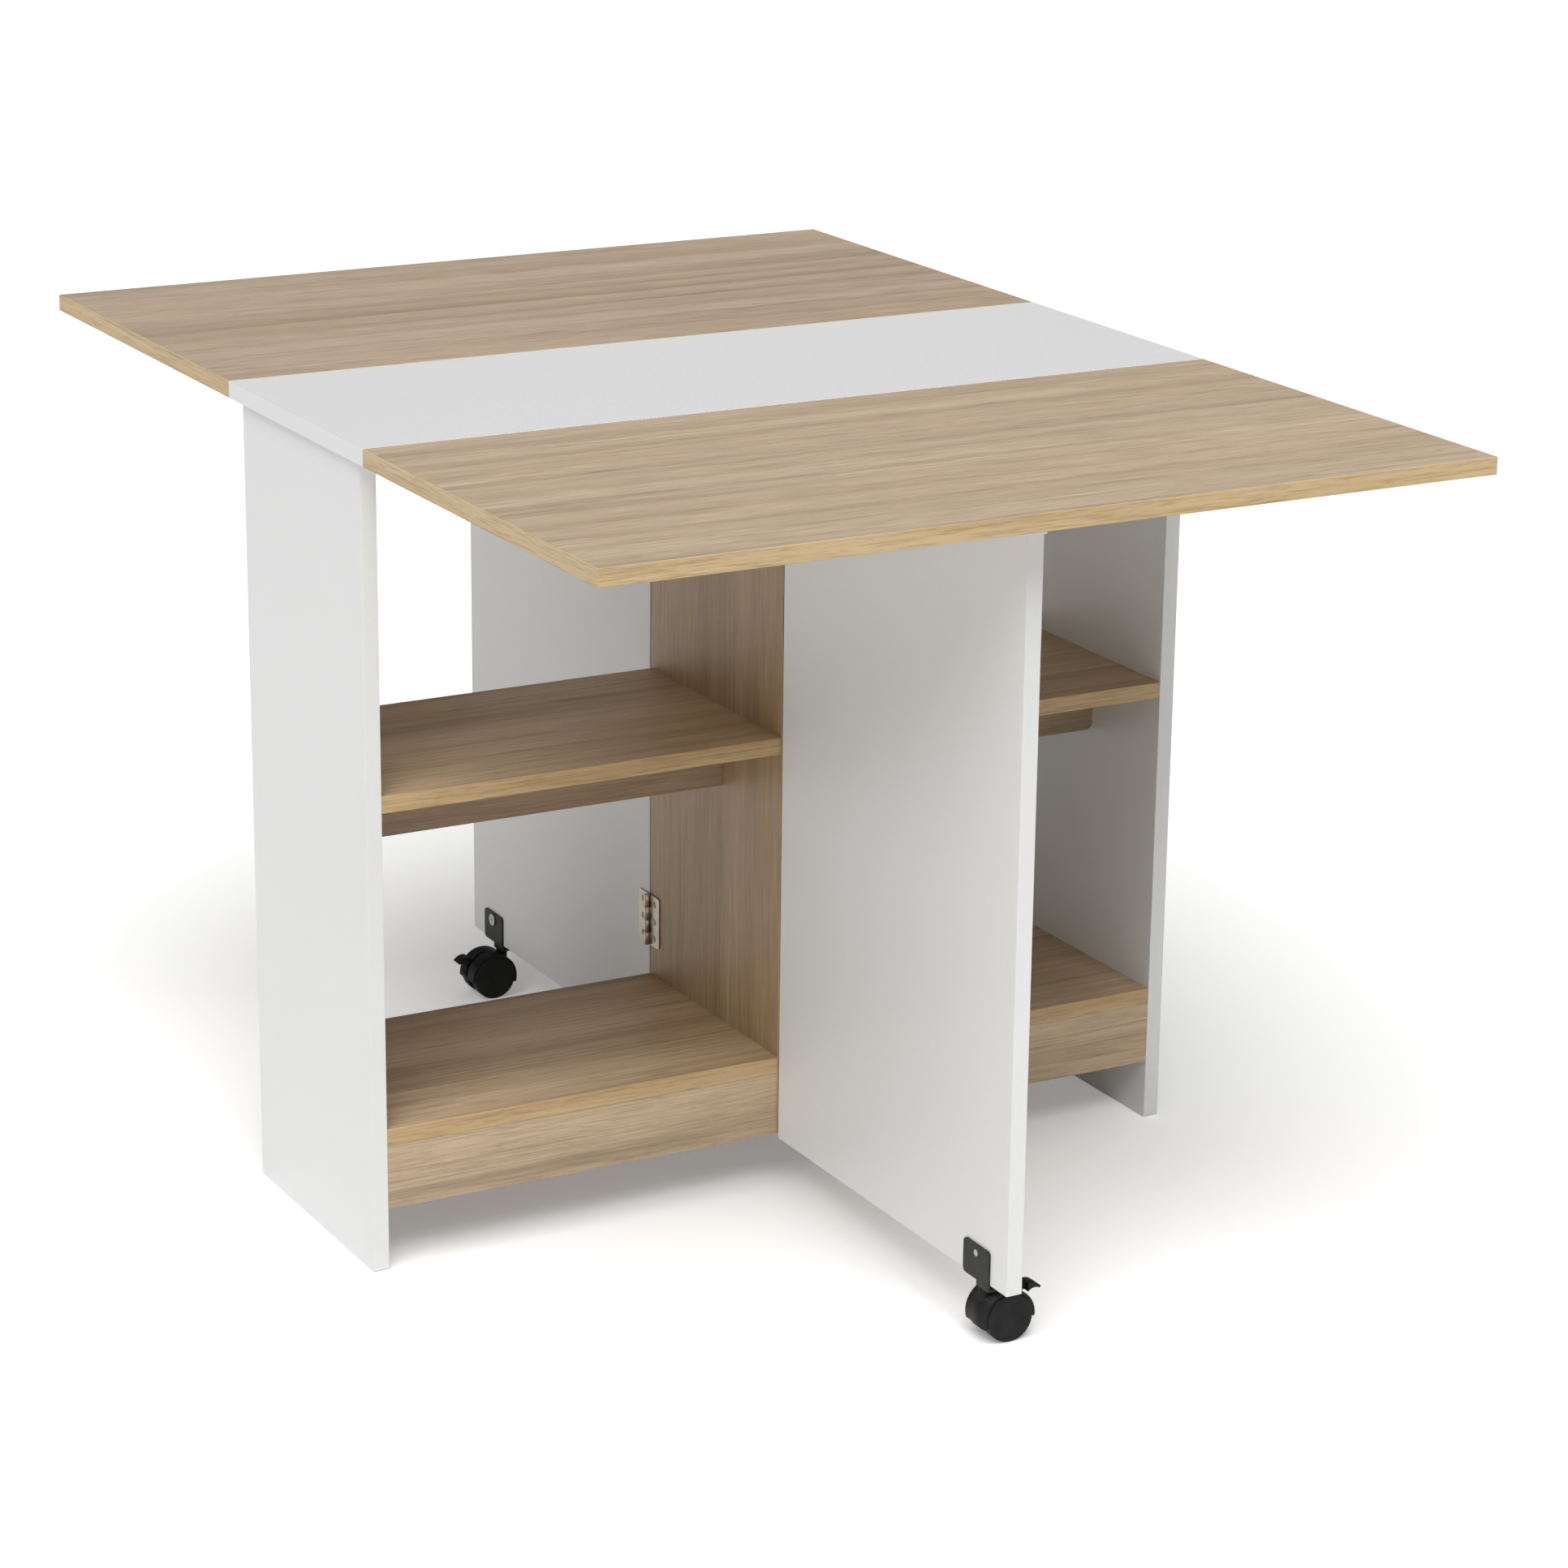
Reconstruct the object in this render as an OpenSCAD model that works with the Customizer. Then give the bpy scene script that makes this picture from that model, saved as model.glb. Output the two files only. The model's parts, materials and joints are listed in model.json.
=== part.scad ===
// Gateleg table on a shelved base, with two fold-out gates on casters.
// Millimetres, +Z up. The origin is on the floor at the middle of the table.
// X runs along the base, and Y runs across it, from leaf to leaf.

/* [Top] */
// Length of the top along X
table_l = 820; // [760:10:900]
// Width of the whole open top along Y
table_w = 1150; // [1110:10:1170]
// Height of the top above the floor
table_h = 735; // [725:5:760]
// Width of the fixed strip in the middle of the top
strip_w = 290; // [280:5:300]
// Gap between the strip and each leaf
leaf_gap = 0.8; // [0.7:0.1:1.2]
// Thickness of every board
board_t = 15; // [15:1:16]
// Thickness of the edge banding
edge_t = 1; // [0.5:0.1:1.5]

/* [Base] */
// How far the strip stands past each end panel
end_overhang = 5; // [3:1:10]
// How far the strip stands past the front and the back of the base
side_overhang = 19; // [19:1:22]
// Height of the underside of the plinths above the floor
plinth_z = 57; // [55:1:62]
// Height of each plinth board
plinth_h = 58; // [50:1:62]
// Height of the underside of the middle shelves above the floor
middle_z = 415; // [380:5:440]
// Height of the rail under each middle shelf
rail_h = 60; // [45:1:70]
// Radius of the corner cut at the outer lower end of the rail
rail_corner_r = 6; // [4:1:8]

/* [Gates] */
// Length of each gate board along Y
gate_l = 395; // [390:1:396]
// Height of the underside of the gates above the floor
gate_z = 53; // [53:1:54]
// Gap between each gate and the divider
gate_gap = 2; // [2:0.5:3]
// Gap between the gate's upper edge and the underside of the leaf
gate_top_gap = 8; // [8:1:10]
// Height of the lower gate hinges above the floor
hinge_low_z = 184; // [170:1:230]
// Height of the upper gate hinges above the floor
hinge_high_z = 600; // [520:10:640]

/* [Hinges] */
// Length of each hinge along its pin
hinge_l = 50; // [48:1:56]
// Width of each hinge plate, from the pin's axis
hinge_w = 21; // [20:1:23]
// Thickness of the hinge plates
hinge_t = 1.5; // [1.2:0.1:1.6]
// Outer radius of the hinge knuckles
knuckle_r = 3; // [2.8:0.1:3]
// Radius of the hinge pins
pin_r = 1.5; // [1.3:0.1:1.6]

/* [Casters] */
// Radius of the wheels
wheel_r = 21.5; // [20.5:0.5:21.5]
// Width over both wheels of a caster
caster_w = 35; // [33:0.5:35]
// How far the axle trails behind the stem
trail = 15; // [14:0.5:15]
// Distance from the table's middle to the front stem
front_stem_y = 484; // [470:1:487]
// Distance from the table's middle to the rear stem
rear_stem_y = 466; // [440:1:480]
// Thickness of the bracket steel
bracket_t = 2; // [1.5:0.1:2]

/* [Hidden] */
$fn = 48;
eps = 0.5;

// Colours
oak = [0.70, 0.57, 0.43];
oak_edge = [0.80, 0.66, 0.46];
white = [0.93, 0.93, 0.92];
white_edge = [0.90, 0.90, 0.89];
cream = [0.90, 0.89, 0.84];
nickel = [0.66, 0.63, 0.58];
steel = [0.72, 0.72, 0.73];
black_steel = [0.10, 0.10, 0.10];
black_plastic = [0.07, 0.07, 0.07];
zinc = [0.60, 0.61, 0.63];
beech = [0.80, 0.68, 0.50];

// The base and its boards
under_z = table_h - board_t;
body_x = table_l / 2 - end_overhang;
body_y = strip_w / 2 - side_overhang;
inner_x = body_x - board_t;
half_t = board_t / 2;
bottom_z = plinth_z + plinth_h;
leaf_in_y = strip_w / 2 + leaf_gap;
leaf_w = table_w / 2 - leaf_in_y;
rail_y = -13.5;
bay_l = inner_x - half_t;

// The gates
gate_in_y = body_y + gate_gap;
gate_out_y = gate_in_y + gate_l;
gate_top_z = under_z - gate_top_gap;
block_l = 30;
block_t = 3;
block_h = 17;
block_gap = 0.3;

// The hinges
knuckles = 4;
knuckle_gap = 0.4;
knuckle_clear = 0.2;
pin_clear = 0.05;
screw_count = 3;
screw_pitch = 17;
screw_x = 11.8;
screw_r = 1.5;
screw_head_r = 2.6;
screw_rim = 0.3;
screw_dome_r = 1.9;
screw_dome_h = 0.6;
screw_l = 13;
screw_tip_r = 0.3;
screw_cross = [3.2, 0.6, 1.6];
plate_corner_r = 3;
gate_pin_x = half_t + knuckle_clear + knuckle_r;
gate_pin_y = body_y + gate_gap / 2;
leaf_pin_y = leaf_in_y - leaf_gap / 2;
leaf_pin_z = under_z - knuckle_clear - knuckle_r;
leaf_hinge_x = [-320, -130, 130, 320];
gate_hinge_z = [hinge_low_z, hinge_high_z];

// The knock-down fittings
cam_r = 7.5;
cam_h = 12;
cam_inset = 34;
cam_y = 80;
cam_slot_r = 3.6;
cam_cross = [9, 1.6, 2];
bolt_r = 2.5;
bolt_head_r = 3.5;
bolt_head_l = 4;
bolt_bore_r = 3.5;
bolt_depth = 11;
dowel_r = 4;
dowel_y = 40;
dowel_into = 10;
dowel_out = 20;

// The casters
axle_r = 3;
stem_r = 3.5;
stem_x = -4;
neck_r = 2.5;
rivet_r = 3.2;
stem_foot_z = 26;
web_w = 11;
web_r = 16.5;
wheel_gap = 0.5;
wheel_round_r = 1.2;
axle_end = 13;
fender_r = wheel_r + 3;
fender_t = 2.7;
fender_w = 32;
fender_low = 3.7;
fender_tilt = 6;
socket_r = 5.5;
socket_gap = 0.4;
brake_at = [trail + 6, wheel_r + 14];
brake_pin_r = 1.5;
brake_boss_r = 3.6;
brake_rise = 16;
brake_arm = [20, 5];
brake_w = 3;
tab_w = 13;
tab_from = 17.5;
tab_to = 28.4;
tab_over = [20, -2.5, 11.5];
tab_under = [24, -5, 9];
tab_nose = [28.4, 4.1, 1.25];
slot_from = 2;
slot_to = 84;
slot_r = 10;
lever_gap = 0.4;

// The caster brackets
bracket = [41, 31];
bracket_r = 4;
bracket_low = 1;
tongue_over = 13;
tongue_in = 6;
flange_z = gate_z - 6;
flange_w = 9;
bolt_at = [21, 22.3];
through_r = 3;
through_head_r = 6;
through_head_t = 1.5;
hex_r = 2.3;
hex_depth = 0.7;
rivet_t = 1.6;

// A box between two corners
module block(low, high) {
    translate(low) cube(high - low);
}

// Places the children at the rear of the table as well as at the front
module turned(rear) {
    rotate([0, 0, rear ? 180 : 0]) children();
}

// ---------- Knock-down fittings: one list of places serves the parts and their holes ----------

// The joints between the boards that lie level and the uprights: [x of the upright, side of the board]
shelf_ends = [[-inner_x, 1], [-half_t, -1], [half_t, 1], [inner_x, -1]];
shelf_levels = [bottom_z, middle_z];

// Cam housings in the undersides of the shelves
module shelf_cams_at() {
    for (z = shelf_levels, end = shelf_ends, y = [-cam_y, cam_y])
        translate([end[0] + end[1] * cam_inset, y, z])
            rotate([0, 0, end[1] > 0 ? 180 : 0]) children();
}

// Cam housings near the top of the uprights, in faces that look into the base
module top_cams_at() {
    for (side = [-1, 1], y = [-cam_y, cam_y])
        translate([side * inner_x, y, under_z - cam_inset])
            rotate([0, side * 90, 0]) rotate([0, 0, side > 0 ? 180 : 0]) children();
    for (y = [-cam_y, cam_y])
        translate([half_t, y, under_z - cam_inset])
            rotate([0, -90, 0]) children();
}

// A cam lock, with its mouth along +X and its face at z = 0
module cam_lock() {
    difference() {
        cylinder(r = cam_r, h = cam_h);
        translate([-bolt_head_l / 2, 0, half_t])
            rotate([0, 90, 0]) cylinder(r = cam_slot_r, h = 2 * cam_r);
        translate([0, 0, cam_cross[2] / 2]) cube(cam_cross, center = true);
        translate([0, 0, cam_cross[2] / 2]) rotate([0, 0, 90]) cube(cam_cross, center = true);
    }
}

// The hole that a cam lock and its bolt fill in a board
module cam_hole() {
    translate([0, 0, -eps]) cylinder(r = cam_r, h = cam_h + eps);
    translate([0, 0, half_t]) rotate([0, 90, 0]) cylinder(r = bolt_bore_r, h = cam_inset + eps);
}

// A cam bolt that starts in a cam at x = 0 and ends in the upright
module cam_bolt() {
    translate([-bolt_head_l / 2, 0, half_t])
        rotate([0, 90, 0]) cylinder(r = bolt_head_r, h = bolt_head_l);
    translate([0, 0, half_t]) rotate([0, 90, 0]) cylinder(r = bolt_r, h = cam_inset + bolt_depth);
}

// The blind holes that the bolts leave in the uprights, and their bolts
module shelf_bolts() {
    for (z = shelf_levels, y = [-cam_y, cam_y]) {
        for (side = [-1, 1])
            translate([side * (inner_x - cam_inset), y, z])
                rotate([0, 0, side > 0 ? 0 : 180]) cam_bolt();
        double_bolt(y, z);
    }
}

// A bolt through the divider, with a head in a cam on each side
module double_bolt(y, z) {
    reach = half_t + cam_inset;
    translate([-reach, y, z + half_t]) rotate([0, 90, 0]) cylinder(r = bolt_r, h = 2 * reach);
    for (side = [-1, 1])
        translate([side * reach - bolt_head_l / 2, y, z + half_t])
            rotate([0, 90, 0]) cylinder(r = bolt_head_r, h = bolt_head_l);
}

module top_bolts() {
    for (x = [-inner_x - half_t, 0, inner_x + half_t], y = [-cam_y, cam_y]) {
        translate([x, y, under_z - cam_inset - bolt_head_l / 2])
            cylinder(r = bolt_head_r, h = bolt_head_l);
        translate([x, y, under_z - cam_inset]) cylinder(r = bolt_r, h = cam_inset + bolt_depth);
    }
}

// Dowels along X: [y, z] of each row, which crosses all three uprights
dowel_rows = [
    for (z = shelf_levels, y = [-dowel_y, dowel_y]) [y, z + half_t],
    for (y = [-body_y + half_t, body_y - half_t]) [y, plinth_z + plinth_h / 2],
    [rail_y + half_t, middle_z - rail_h / 2]
];

module all_dowels() {
    for (row = dowel_rows) {
        for (side = [-1, 1])
            translate([side * (inner_x + dowel_into), row[0], row[1]])
                rotate([0, -side * 90, 0]) cylinder(r = dowel_r, h = dowel_into + dowel_out);
        translate([-half_t - dowel_out, row[0], row[1]])
            rotate([0, 90, 0]) cylinder(r = dowel_r, h = board_t + 2 * dowel_out);
    }
    for (x = [-inner_x - half_t, 0, inner_x + half_t], y = [-dowel_y, dowel_y])
        translate([x, y, under_z - dowel_out]) cylinder(r = dowel_r, h = dowel_into + dowel_out);
}

// Every hole for the fittings, which the boards of the base have cut out of them
module fitting_holes() {
    shelf_cams_at() cam_hole();
    top_cam_holes();
    shelf_bolts();
    top_bolts();
    all_dowels();
}

// ---------- Hinges ----------

// Screw places on a hinge plate, at their distance along the pin
function screw_at(i) = (i - (screw_count - 1) / 2) * screw_pitch;

// One plate of a hinge: pin along Z, and the plate reaches to +Y with its back against the board.
// The fixed plate has the odd knuckles, and the moving plate has the even ones.
module hinge_plate(fixed) {
    step = hinge_l / knuckles;
    back = -knuckle_r - knuckle_clear;
    difference() {
        union() {
            translate([back, 0, -hinge_l / 2]) plate_sheet(fixed, step);
            for (k = [0 : knuckles - 1])
                if ((k % 2 == 0) == fixed)
                    translate([0, 0, -hinge_l / 2 + k * step + knuckle_gap / 2])
                        cylinder(r = knuckle_r, h = step - knuckle_gap);
        }
        translate([0, 0, -hinge_l]) cylinder(r = fixed ? pin_r : pin_r + pin_clear, h = 2 * hinge_l);
        for (i = [0 : screw_count - 1])
            translate([back, screw_x, screw_at(i)]) rotate([0, 90, 0]) screw_hole();
    }
}

// The flat sheet of a hinge plate, with two round corners and notches for the other plate's knuckles
module plate_sheet(fixed, step) {
    rotate([90, 0, 90]) linear_extrude(hinge_t)
        difference() {
            union() {
                square([hinge_w - plate_corner_r, hinge_l]);
                translate([0, plate_corner_r]) square([hinge_w, hinge_l - 2 * plate_corner_r]);
                for (z = [plate_corner_r, hinge_l - plate_corner_r])
                    translate([hinge_w - plate_corner_r, z]) circle(r = plate_corner_r);
            }
            for (k = [0 : knuckles - 1])
                if ((k % 2 == 0) != fixed)
                    translate([-eps, k * step - knuckle_gap / 2])
                        square([knuckle_r + 2 * knuckle_gap + eps, step + knuckle_gap]);
        }
}

module hinge_pin() {
    translate([0, 0, -hinge_l / 2]) cylinder(r = pin_r, h = hinge_l);
}

// The countersunk hole in a plate, whose back face is at z = 0
module screw_hole() {
    cylinder(r1 = screw_r, r2 = screw_head_r + screw_rim, h = hinge_t);
    translate([0, 0, -eps]) cylinder(r = screw_r, h = 2 * eps);
    translate([0, 0, hinge_t]) cylinder(r = screw_head_r + screw_rim, h = eps);
}

// A screw whose raised head sits in a plate, with its shank going down into the board
module screw() {
    difference() {
        union() {
            cylinder(r1 = screw_r, r2 = screw_head_r, h = hinge_t);
            translate([0, 0, hinge_t])
                cylinder(r1 = screw_head_r, r2 = screw_dome_r, h = screw_dome_h);
        }
        for (turn = [0, 90])
            rotate([0, 0, turn])
                translate([0, 0, hinge_t + screw_dome_h]) cube(screw_cross, center = true);
    }
    screw_shank();
}

module screw_shank() {
    translate([0, 0, -screw_l + screw_r]) cylinder(r = screw_r, h = screw_l - screw_r);
    translate([0, 0, -screw_l]) cylinder(r1 = screw_tip_r, r2 = screw_r, h = screw_r);
}

// Puts the children, drawn at a screw's place on a plate's back face, at all the screws of a hinge
module plate_screws() {
    for (i = [0 : screw_count - 1])
        translate([-knuckle_r - knuckle_clear, screw_x, screw_at(i)]) rotate([0, 90, 0]) children();
}

// Frames of the gate hinges on the front gate: the plates lie on the +X faces
module gate_hinges_at() {
    for (z = gate_hinge_z)
        translate([gate_pin_x, -gate_pin_y, z]) children();
}

// Frames of the leaf hinges on the front leaf: pins along X, plates against the undersides
module leaf_hinges_at() {
    for (x = leaf_hinge_x)
        translate([x, -leaf_pin_y, leaf_pin_z]) rotate([0, 90, 0]) children();
}

// The moving plate of a hinge is the mirror image of the fixed one across the pin
module moving_side() {
    mirror([0, 1, 0]) children();
}

// ---------- Casters: stem axis at the origin, trailing to +X ----------

module caster_hood() {
    difference() {
        union() {
            rotate([90, 0, 0]) translate([0, 0, -web_w / 2]) linear_extrude(web_w) hood_web();
            rotate([90, 0, 0]) translate([0, 0, -fender_w / 2]) linear_extrude(fender_w) fender_arc();
            translate([0, 0, wheel_r])
                cylinder(r = socket_r, h = flange_z - socket_gap - wheel_r);
        }
        translate([0, 0, stem_foot_z]) cylinder(r = stem_r + pin_clear, h = flange_z);
        lever_slot();
        rotate([90, 0, 0]) translate([trail, wheel_r, -web_w]) cylinder(r = axle_r, h = 2 * web_w);
        rotate([90, 0, 0])
            translate([brake_at[0], brake_at[1], -web_w]) cylinder(r = brake_pin_r, h = 2 * web_w);
    }
}

// The web between the wheels, seen from the side: x, then height
module hood_web() {
    translate([trail, wheel_r]) circle(r = web_r);
    intersection() {
        translate([trail, wheel_r]) circle(r = fender_r - fender_t / 2);
        translate([trail - fender_r, wheel_r]) square([2 * fender_r, fender_r]);
    }
}

// The fender over the wheels, seen from the side, with round ends; it comes down lower at the front
module fender_arc() {
    middle_r = fender_r - fender_t / 2;
    end_x = sqrt(middle_r * middle_r - fender_low * fender_low);
    translate([trail, wheel_r]) rotate(fender_tilt) {
        difference() {
            circle(r = fender_r);
            circle(r = fender_r - fender_t);
            translate([-2 * fender_r, -fender_low - 2 * fender_r])
                square([4 * fender_r, 2 * fender_r]);
        }
        for (x = [-end_x, end_x])
            translate([x, -fender_low]) circle(r = fender_t / 2);
    }
}

// The slot through the web and the fender that the brake lever's arm moves in
module lever_slot() {
    far = 2 * fender_r;
    rotate([90, 0, 0]) translate([trail, wheel_r, -brake_w / 2 - lever_gap])
        linear_extrude(brake_w + 2 * lever_gap)
            difference() {
                polygon([
                    [0, 0],
                    [far * cos(slot_from), far * sin(slot_from)],
                    [far * cos(slot_to), far * sin(slot_to)]
                ]);
                circle(r = slot_r);
            }
}

// The axle and the lever's pin, both across the web
module caster_pins() {
    rotate([90, 0, 0]) translate([trail, wheel_r, -axle_end]) cylinder(r = axle_r, h = 2 * axle_end);
    rotate([90, 0, 0])
        translate([brake_at[0], brake_at[1], -web_w / 2]) cylinder(r = brake_pin_r, h = web_w);
}

// The lever: an arm that comes out through the slot, and a curved tab that is pressed down by foot
module brake_lever() {
    difference() {
        union() {
            lever_layer(brake_w) {
                circle(r = brake_boss_r);
                rotate(brake_rise) translate([0, -brake_arm[1] / 2]) square(brake_arm);
            }
            lever_layer(tab_w) tab_shape();
        }
        rotate([90, 0, 0])
            translate([brake_at[0], brake_at[1], -web_w])
                cylinder(r = brake_pin_r + pin_clear, h = 2 * web_w);
    }
}

// A layer of the lever, drawn from the side with the pin at the origin
module lever_layer(width) {
    rotate([90, 0, 0]) translate([brake_at[0], brake_at[1], -width / 2]) linear_extrude(width) children();
}

// The tab seen from the side, with a round nose, between two circles: [x, y, radius] of each
module tab_shape() {
    translate([tab_nose[0], tab_nose[1]]) circle(r = tab_nose[2]);
    difference() {
        intersection() {
            translate([tab_over[0], tab_over[1]]) circle(r = tab_over[2]);
            translate([tab_from, 0]) square([tab_to - tab_from, tab_over[2]]);
        }
        translate([tab_under[0], tab_under[1]]) circle(r = tab_under[2]);
    }
}

// A wheel on the +Y side of the web, with round shoulders, a flat face and a blind bore
module wheel() {
    inner = web_w / 2 + wheel_gap;
    outer = caster_w / 2;
    translate([trail, 0, wheel_r]) rotate([-90, 0, 0])
        difference() {
            rotate_extrude() {
                translate([0, inner]) square([wheel_r - wheel_round_r, outer - inner]);
                translate([0, inner + wheel_round_r])
                    square([wheel_r, outer - inner - 2 * wheel_round_r]);
                for (y = [inner + wheel_round_r, outer - wheel_round_r])
                    translate([wheel_r - wheel_round_r, y]) circle(r = wheel_round_r);
            }
            translate([0, 0, inner - eps]) cylinder(r = axle_r + pin_clear, h = axle_end - inner + 2 * eps);
        }
}

// ---------- Brackets: the plate's back face at x = 0, the stem at y = 0 ----------

// The same bracket is on both gates: a plate with a bolt hole, and a tongue with a flange under the gate
module caster_bracket() {
    difference() {
        union() {
            translate([-bracket_t, -tongue_over, gate_z - bracket_low]) bracket_plate();
            block([-bracket_t, -tongue_over, flange_z], [0, tongue_in, gate_z + bracket_r]);
            block([-bracket_t, -tongue_over, flange_z],
                [flange_w - bracket_t, tongue_in, flange_z + bracket_t]);
        }
        translate([-2 * bracket_t, bolt_at[0] - tongue_over, gate_z + bolt_at[1]])
            rotate([0, 90, 0]) cylinder(r = through_r, h = 4 * bracket_t);
        translate([stem_x + half_t, 0, flange_z - eps]) cylinder(r = neck_r, h = bracket_t + 2 * eps);
    }
}

module bracket_plate() {
    rotate([90, 0, 90]) linear_extrude(bracket_t) {
        translate([bracket_r, 0]) square([bracket[0] - 2 * bracket_r, bracket[1]]);
        translate([0, bracket_r]) square([bracket[0], bracket[1] - 2 * bracket_r]);
        for (y = [bracket_r, bracket[0] - bracket_r], z = [bracket_r, bracket[1] - bracket_r])
            translate([y, z]) circle(r = bracket_r);
    }
}

// The bolt through the gate: its head is on the bracket's side or on the far side
module through_bolt(head_on_bracket) {
    head_x = head_on_bracket ? -bracket_t - through_head_t : board_t;
    translate([0, bolt_at[0] - tongue_over, gate_z + bolt_at[1]]) {
        translate([-bracket_t, 0, 0])
            rotate([0, 90, 0]) cylinder(r = through_r, h = board_t + bracket_t);
        difference() {
            translate([head_x, 0, 0])
                rotate([0, 90, 0]) cylinder(r = through_head_r, h = through_head_t);
            translate([head_on_bracket ? head_x : head_x + through_head_t, 0, 0])
                rotate([0, 90, 0]) cylinder(r = hex_r, h = 2 * hex_depth, center = true, $fn = 6);
        }
    }
}

// The stem, with a neck through the flange that is riveted over on top
module caster_stem() {
    translate([stem_x + half_t, 0, stem_foot_z + eps])
        cylinder(r = stem_r, h = flange_z - stem_foot_z - eps);
    translate([stem_x + half_t, 0, flange_z]) cylinder(r = neck_r, h = bracket_t);
    translate([stem_x + half_t, 0, flange_z + bracket_t]) cylinder(r = rivet_r, h = rivet_t);
}

// Puts a bracket and what is on it at the gate's -X face
module at_bracket(rear) {
    translate([-half_t, rear ? rear_stem_y : -front_stem_y, 0]) children();
}

// Puts a caster on its stem; the front one trails to +X and the rear one to -X
module at_stem(rear) {
    translate([stem_x, rear ? rear_stem_y : -front_stem_y, 0]) turned(rear) children();
}

// ---------- Boards ----------

// The banded part of a rectangle, as a frame of edging that is edge_t wide, in the XY plane
module edging_ring(low, high, thick) {
    difference() {
        block([low[0], low[1], 0], [high[0], high[1], thick]);
        block([low[0] + edge_t, low[1] + edge_t, -eps],
            [high[0] - edge_t, high[1] - edge_t, thick + eps]);
    }
}

module front_leaf_area() {
    translate([-table_l / 2, -table_w / 2, under_z]) children();
}

module leaf_panel() {
    difference() {
        front_leaf_area()
            translate([edge_t, edge_t, 0]) cube([table_l - 2 * edge_t, leaf_w - 2 * edge_t, board_t]);
        leaf_hinges_at() moving_side() plate_screws() screw_shank();
    }
}

module leaf_edging() {
    front_leaf_area() edging_ring([0, 0], [table_l, leaf_w], board_t);
}

// The front gate's board stands at the middle of the table, under the front leaf
module gate_panel() {
    difference() {
        block([-half_t, -gate_out_y + edge_t, gate_z + edge_t],
            [half_t, -gate_in_y - edge_t, gate_top_z - edge_t]);
        gate_hinges_at() moving_side() plate_screws() screw_shank();
    }
}

module gate_edging() {
    translate([half_t, -gate_out_y, gate_z]) rotate([0, -90, 0])
        edging_ring([0, 0], [gate_top_z - gate_z, gate_l], board_t);
}

// The hole for the bracket's bolt, which isn't turned with the rear gate
module bolt_hole(rear) {
    at_bracket(rear) translate([-eps, bolt_at[0] - tongue_over, gate_z + bolt_at[1]])
        rotate([0, 90, 0]) cylinder(r = through_r, h = board_t + 2 * eps);
}

// The plastic block that caps the gate's outer top corner, where the leaf rests
module support_block() {
    top = under_z - block_gap;
    block([-half_t, -gate_out_y, gate_top_z], [half_t, -gate_out_y + block_l, top]);
    block([half_t, -gate_out_y, top - block_h], [half_t + block_t, -gate_out_y + block_l, top]);
}

module end_panel(side) {
    difference() {
        block([side > 0 ? inner_x : -body_x, -body_y + edge_t, 0],
            [side > 0 ? body_x : -inner_x, body_y - edge_t, under_z]);
        fitting_holes();
    }
}

// A level or upright board of one bay; side is -1 on the left and 1 on the right
module bay_board(side, low_y, high_y, low_z, high_z) {
    difference() {
        block([side > 0 ? half_t : -inner_x, low_y, low_z],
            [side > 0 ? inner_x : -half_t, high_y, high_z]);
        fitting_holes();
    }
}

module shelf(side, z) {
    bay_board(side, -body_y + edge_t, body_y - edge_t, z, z + board_t);
}

module plinth(side, low_y) {
    bay_board(side, low_y, low_y + board_t, plinth_z, bottom_z);
}

// The rail under a middle shelf, with its outer lower corner rounded off
module rail(side) {
    corner = [side * inner_x, 0, middle_z - rail_h];
    difference() {
        bay_board(side, rail_y, rail_y + board_t, middle_z - rail_h, middle_z);
        translate([corner[0] - side * rail_corner_r, rail_y - eps, corner[2] + rail_corner_r])
            rotate([-90, 0, 0]) corner_waste(side);
    }
}

module corner_waste(side) {
    difference() {
        translate([side > 0 ? 0 : -2 * rail_corner_r, 0, 0])
            cube([2 * rail_corner_r, 2 * rail_corner_r, board_t + 2 * eps]);
        translate([0, 0, -eps]) cylinder(r = rail_corner_r, h = board_t + 4 * eps);
    }
}

// Holes for the cams of the uprights and for their bolts
module top_cam_holes() {
    top_cams_at() cam_hole();
}

// ---------- Nodes ----------

module top_strip() {
    color(white) difference() {
        block([-table_l / 2 + edge_t, -strip_w / 2 + edge_t, under_z],
            [table_l / 2 - edge_t, strip_w / 2 - edge_t, table_h]);
        top_bolts();
        all_dowels();
        for (rear = [false, true])
            turned(rear) leaf_hinges_at() plate_screws() screw_shank();
    }
}

module top_strip_edging() {
    color(white_edge) translate([0, 0, under_z])
        edging_ring([-table_l / 2, -strip_w / 2], [table_l / 2, strip_w / 2], board_t);
}

module left_end_panel() {
    color(white) end_panel(-1);
}

module right_end_panel() {
    color(white) end_panel(1);
}

module end_panel_edging() {
    color(white_edge) for (side = [-1, 1], face = [-1, 1])
        translate([side * (body_x - half_t), face * (body_y - edge_t / 2), (under_z + edge_t) / 2])
            cube([board_t, edge_t, under_z - edge_t], center = true);
}

module divider() {
    color(oak) difference() {
        block([-half_t, -body_y + edge_t, plinth_z], [half_t, body_y - edge_t, under_z]);
        fitting_holes();
        for (rear = [false, true])
            turned(rear) gate_hinges_at() plate_screws() screw_shank();
    }
}

module divider_edging() {
    color(oak_edge) for (face = [-1, 1])
        translate([0, face * (body_y - edge_t / 2), (under_z + plinth_z) / 2])
            cube([board_t, edge_t, under_z - plinth_z], center = true);
}

module left_middle_shelf() {
    color(oak) shelf(-1, middle_z);
}

module right_middle_shelf() {
    color(oak) shelf(1, middle_z);
}

module left_bottom_shelf() {
    color(oak) shelf(-1, bottom_z);
}

module right_bottom_shelf() {
    color(oak) shelf(1, bottom_z);
}

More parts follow.
